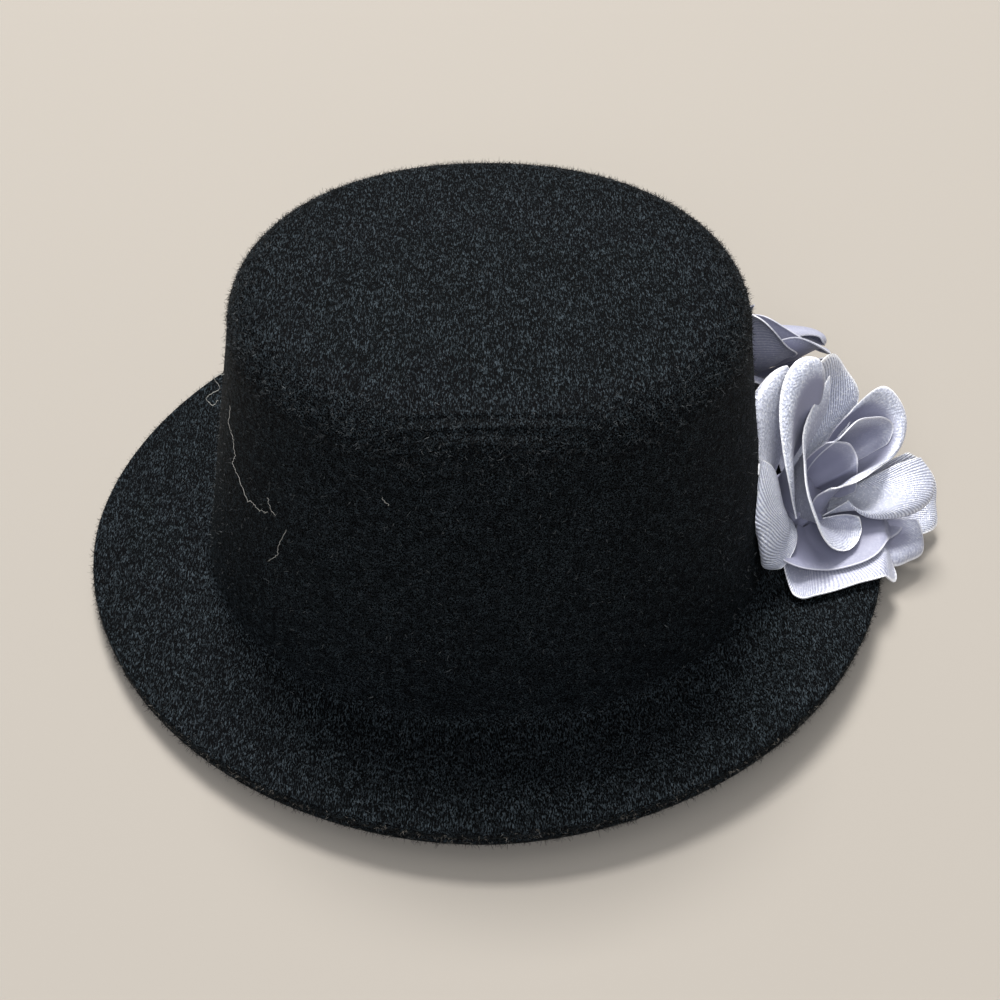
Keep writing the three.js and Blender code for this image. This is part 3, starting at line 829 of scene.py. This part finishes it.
def form_petal(node, petal, place, sheen_and_shade_scale, room):
    """A cut of satin, formed over its cupped shape, with its wall, finish and cloth size."""
    bpy.ops.object.select_all(action="DESELECT")
    bpy.ops.mesh.primitive_grid_add(x_subdivisions=PETAL_COLUMNS, y_subdivisions=PETAL_ROWS, size=2)
    piece = bpy.context.active_object
    piece.name = node + "_satin"
    mesh = piece.data
    edge = mesh.attributes.new("edge", "FLOAT", "POINT")
    face_sheen_and_shade = mesh.attributes.new("face_sheen_and_shade", "FLOAT", "POINT")
    ribs = mesh.attributes.new("ribs", "FLOAT", "POINT")
    hollow, lip, ribbed = petal["face_sheen_and_shade"]
    sides = [(vertex.co.x, 0.5 * (vertex.co.y + 1)) for vertex in mesh.vertices]
    points = []
    for vertex, (side, share) in zip(mesh.vertices, sides):
        points.append(clear_of_hat(place @ petal_point(petal, side, share), room))
        vertex.co = points[-1]
        edge.data[vertex.index].value = max(abs(side), share)
        # The hollow's and the lip's numbers also set painted light: a low one draws the satin darker as
        # painted shade, a high one lighter as painted sheen.
        towards_lip = smooth((share - SHINE_START) / SHINE_FADE)
        face_sheen_and_shade.data[vertex.index].value = sheen_and_shade_scale * mix(hollow, lip, towards_lip)
        ribs.data[vertex.index].value = ribbed
    width, length, area = cloth_size(points)
    slant = math.radians(petal["thread"])
    cloth = mesh.uv_layers.active
    cloth.name = "cloth"
    for loop in mesh.loops:
        side, share = sides[loop.vertex_index]
        across, along = 0.5 * width * side, length * share
        cloth.data[loop.index].uv = (
            math.cos(slant) * across + math.sin(slant) * along,
            math.cos(slant) * along - math.sin(slant) * across,
        )
    wall = piece.modifiers.new("wall", "SOLIDIFY")
    wall.thickness = SATIN_WALL
    wall.offset = 0
    bpy.ops.object.modifier_apply(modifier="wall")
    bpy.ops.object.shade_smooth_by_angle(angle=math.radians(50))
    mesh.materials.append(satin_lilac)
    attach(piece, "root")
    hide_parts(node)
    area = min(area, width * length)
    return piece


KNOT_RADIUS = {"top": 5.0, "bottom": 5.4}
KNOT_ABOVE = 3.2
KNOT_BELOW = 9.0
PLEATS = 14
PLEAT_DEPTH = 0.09


def form_knot(node, place):
    """The gathered roots of the petals, drawn together into a pleated knot."""
    bpy.ops.object.select_all(action="DESELECT")
    bpy.ops.mesh.primitive_cylinder_add(vertices=6 * PLEATS, radius=1, depth=2, end_fill_type="TRIFAN")
    piece = bpy.context.active_object
    piece.name = node + "_gathered"
    bpy.ops.object.mode_set(mode="EDIT")
    bpy.ops.mesh.select_all(action="SELECT")
    bpy.ops.mesh.bisect(plane_co=(0, 0, 0.4), plane_no=(0, 0, 1))
    for height in (0.0, -0.3, -0.6):
        bpy.ops.mesh.select_all(action="SELECT")
        bpy.ops.mesh.bisect(plane_co=(0, 0, height), plane_no=(0, 0, 1))
    bpy.ops.object.mode_set(mode="OBJECT")
    for vertex in piece.data.vertices:
        angle = math.atan2(vertex.co.y, vertex.co.x)
        share = 0.5 * (vertex.co.z + 1)
        pleat = PLEAT_DEPTH * (1 - math.cos(PLEATS * (angle + 0.5 * share)))
        radius = mix(KNOT_RADIUS["bottom"], KNOT_RADIUS["top"], share) * (1 - pleat)
        reach = math.hypot(vertex.co.x, vertex.co.y)
        local = Vector((
            reach * radius * math.cos(angle),
            reach * radius * math.sin(angle),
            mix(-KNOT_BELOW, KNOT_ABOVE, share),
        ))
        vertex.co = clear_of_hat(place @ local, SATIN_WALL)
    bpy.ops.object.shade_smooth()
    piece.data.materials.append(satin_lilac)
    piece.data.uv_layers.active.name = "cloth"
    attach(piece, "root")
    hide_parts(node)
    return piece


for rose_name, rose in ROSES.items():
    place = rose_frame(rose)
    form_knot(rose_name + "_knot", place)
    counts = {}
    for order, row in enumerate(PETALS):
        room = SATIN_WALL + LAYER_ROOM * (len(PETALS) - 1 - order)
        petal = mirrored(row) if rose["mirrored"] else row
        counts[row["kind"]] = counts.get(row["kind"], 0) + 1
        node = f"{rose_name}_{row['kind']}_{counts[row['kind']]}"
        form_petal(node, petal, place, rose["sheen_and_shade_scale"], room)

# The hair clip. One strip of spring steel, folded back on itself, is sewn inside the
# crown's back wall, and its two leaves grip the hair.
steel = Finish("clip_steel", Metallic=1.0, Base_Color=(0.42, 0.43, 0.45, 1))
brushed = steel.add("ShaderNodeMapping", {}, {"Vector": steel.place(), "Scale": (60, 60, 4000)})
scratches = steel.noise(brushed, 1.0, 4.0)
steel.feed_surface("Roughness", 0.22 + 0.3 * scratches)
steel.feed_surface("Normal", steel.bump(scratches, 0.00004, 0.5))
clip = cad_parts["hair_clip"]
clip.data.materials.clear()
clip.data.materials.append(steel.material)

# The table, the light and the camera. A plain pale table, a window light from high up
# behind, a weak light overhead and one from the front, and the glow of the room.
TABLE_COLOUR = (0.262, 0.242, 0.216, 1)
CAMERA_TARGET = Vector((HAT_X + 0.001732, -0.006648, 0.017272))
CAMERA_DISTANCE = 0.21987
CAMERA_TURN = -0.034
CAMERA_RISE = 0.813
CAMERA_ROLL = 0.021
CAMERA_LENS = 50.4

bpy.ops.mesh.primitive_plane_add(size=8, location=(0, 0, 0))
table = bpy.context.active_object
table.name = "table"
plain = Finish("table_plain", Base_Color=TABLE_COLOUR, Roughness=0.9, Specular_IOR_Level=0.25)
table.data.materials.append(plain.material)

LIGHTS = {
    "window": {"at": (-0.1, 0.87, 1.5), "size": 0.55, "watts": 57, "colour": (1.0, 0.98, 0.95)},
    "ceiling": {"at": (0.05, -0.05, 1.5), "size": 1.2, "watts": 9, "colour": (1.0, 0.98, 0.96)},
    "room": {"at": (-0.2, -1.15, 1.1), "size": 0.9, "watts": 17, "colour": (0.97, 0.98, 1.0)},
}
for light_name, settings in LIGHTS.items():
    lamp = bpy.data.lights.new(light_name, "AREA")
    lamp.size = settings["size"]
    lamp.energy = settings["watts"]
    lamp.color = settings["colour"]
    holder = bpy.data.objects.new(light_name, lamp)
    bpy.context.scene.collection.objects.link(holder)
    holder.location = settings["at"]
    holder.rotation_euler = (Vector((0, 0, 0.02)) - holder.location).to_track_quat("-Z", "Y").to_euler()

world = bpy.data.worlds.new("room")
world.use_nodes = True
world.node_tree.nodes["Background"].inputs["Color"].default_value = (0.9, 0.93, 1.0, 1)
world.node_tree.nodes["Background"].inputs["Strength"].default_value = 0.2
bpy.context.scene.world = world
bpy.context.scene.view_settings.view_transform = "Standard"

back = Vector((
    math.sin(CAMERA_TURN) * math.cos(CAMERA_RISE),
    -math.cos(CAMERA_TURN) * math.cos(CAMERA_RISE),
    math.sin(CAMERA_RISE),
))
level = Vector((math.cos(CAMERA_TURN), math.sin(CAMERA_TURN), 0))
upright = back.cross(level)
right = math.cos(CAMERA_ROLL) * level + math.sin(CAMERA_ROLL) * upright
lens = bpy.data.cameras.new("camera")
lens.lens = CAMERA_LENS
lens.sensor_width = 36
lens.clip_start = 0.01
camera = bpy.data.objects.new("camera", lens)
bpy.context.scene.collection.objects.link(camera)
camera.matrix_world = Matrix.Translation(CAMERA_TARGET + CAMERA_DISTANCE * back) @ Matrix((
    right, back.cross(right), back,
)).transposed().to_4x4()
bpy.context.scene.camera = camera
